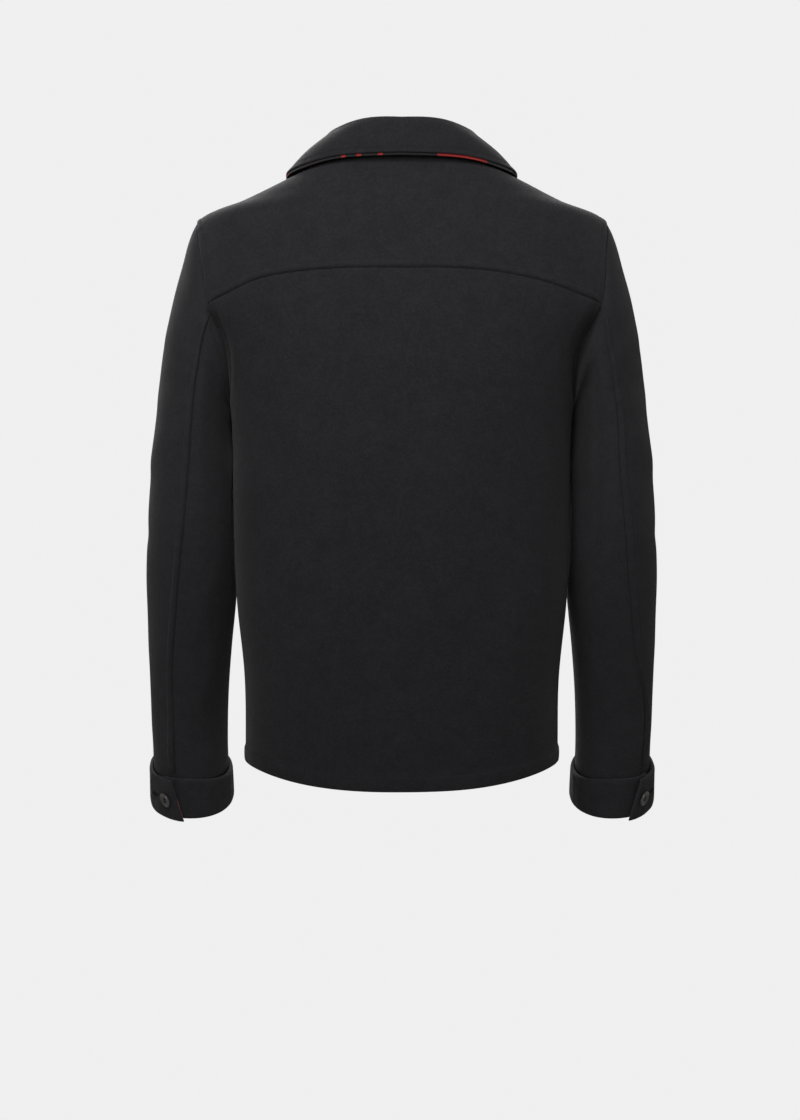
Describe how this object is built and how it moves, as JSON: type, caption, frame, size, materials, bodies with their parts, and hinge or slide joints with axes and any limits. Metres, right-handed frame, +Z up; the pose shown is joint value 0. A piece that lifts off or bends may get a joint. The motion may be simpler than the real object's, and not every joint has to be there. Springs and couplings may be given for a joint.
{
  "type": "donkey jacket",
  "caption": "Hip-length wool donkey jacket with a back yoke, fold-down collar and buttoned tab cuffs, in worn form with no wearer.",
  "frame": {"origin": "middle of the neck seam at the back, where the wearer's nape holds the jacket", "axes": "+X to the wearer's left, -Y to the front, +Z up"},
  "size_m": [0.5801, 0.3093, 0.7779],
  "materials": {
    "melton": "dull felted wool with a short nap",
    "checked_wool": "dull wool in a plain red and black check",
    "button_horn": "polished horn"
  },
  "bodies": {
    "root": {"yoke": "melton", "back": "melton", "front_left": "melton", "front_right": "melton", "sleeve_left_top": "melton", "sleeve_left_under": "melton", "sleeve_right_top": "melton", "sleeve_right_under": "melton", "cuff_left": "melton", "cuff_right": "melton", "collar": "melton", "undercollar": "checked_wool", "cuff_button_left": "button_horn", "cuff_button_right": "button_horn", "front_button_1": "button_horn", "front_button_2": "button_horn", "front_button_3": "button_horn", "front_button_4": "button_horn", "front_button_5": "button_horn"}
  },
  "joints": []
}
